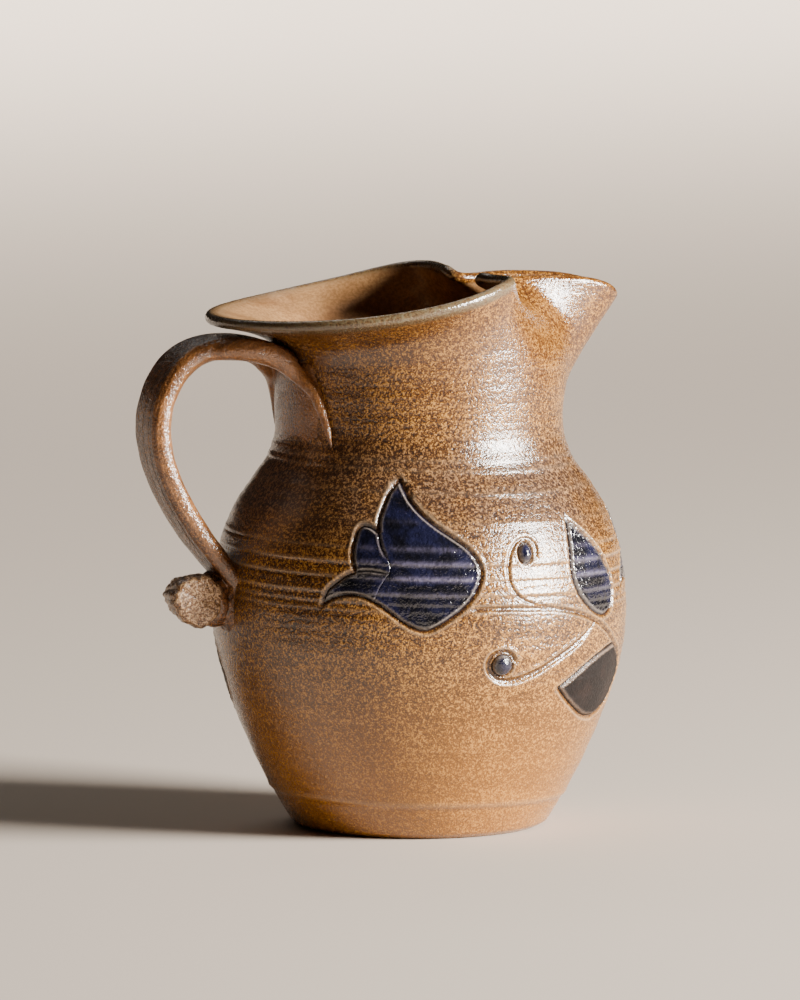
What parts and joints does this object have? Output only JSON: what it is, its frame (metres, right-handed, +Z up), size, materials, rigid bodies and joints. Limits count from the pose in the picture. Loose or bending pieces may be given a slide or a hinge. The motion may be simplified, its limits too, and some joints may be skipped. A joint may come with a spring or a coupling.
{
  "type": "ceramic pitcher",
  "caption": "Thrown stoneware pitcher with round belly, flared rim, pinched spout, pulled strap handle with a curled end, and incised flowers filled with cobalt.",
  "frame": {"origin": "centre of the round foot, on the surface the pitcher stands on", "axes": "+Z up along the throwing axis, +X towards the spout, -X towards the handle"},
  "size_m": [0.1625, 0.1338, 0.1796],
  "materials": {
    "salt_glazed_stoneware": "speckled brown salt glaze with orange-peel texture, satin to glossy",
    "salt_glazed_handle": "brown salt glaze, glossy on the rounded edges, darker along the face",
    "salt_glazed_curl": "brown salt glaze with darker ruffled edge",
    "cobalt_inlay": "near-black cobalt glaze with grey-lilac bands, glossy",
    "manganese_inlay": "dark brown-purple glaze, satin"
  },
  "bodies": {
    "root": {"vessel": "salt_glazed_stoneware", "handle": "salt_glazed_handle", "handle_curl": "salt_glazed_curl", "petal_main_1": "cobalt_inlay", "petal_small_1": "cobalt_inlay", "petal_tail_1": "cobalt_inlay", "leaf_upper_1": "cobalt_inlay", "leaf_lower_1": "manganese_inlay", "berry_drop_1": "cobalt_inlay", "berry_round_1": "cobalt_inlay", "petal_main_2": "cobalt_inlay", "petal_small_2": "cobalt_inlay", "petal_tail_2": "cobalt_inlay", "leaf_upper_2": "cobalt_inlay", "leaf_lower_2": "manganese_inlay", "berry_drop_2": "cobalt_inlay", "berry_round_2": "cobalt_inlay", "petal_main_3": "cobalt_inlay", "petal_small_3": "cobalt_inlay", "petal_tail_3": "cobalt_inlay", "leaf_upper_3": "cobalt_inlay", "leaf_lower_3": "manganese_inlay", "berry_drop_3": "cobalt_inlay", "berry_round_3": "cobalt_inlay"}
  },
  "joints": []
}
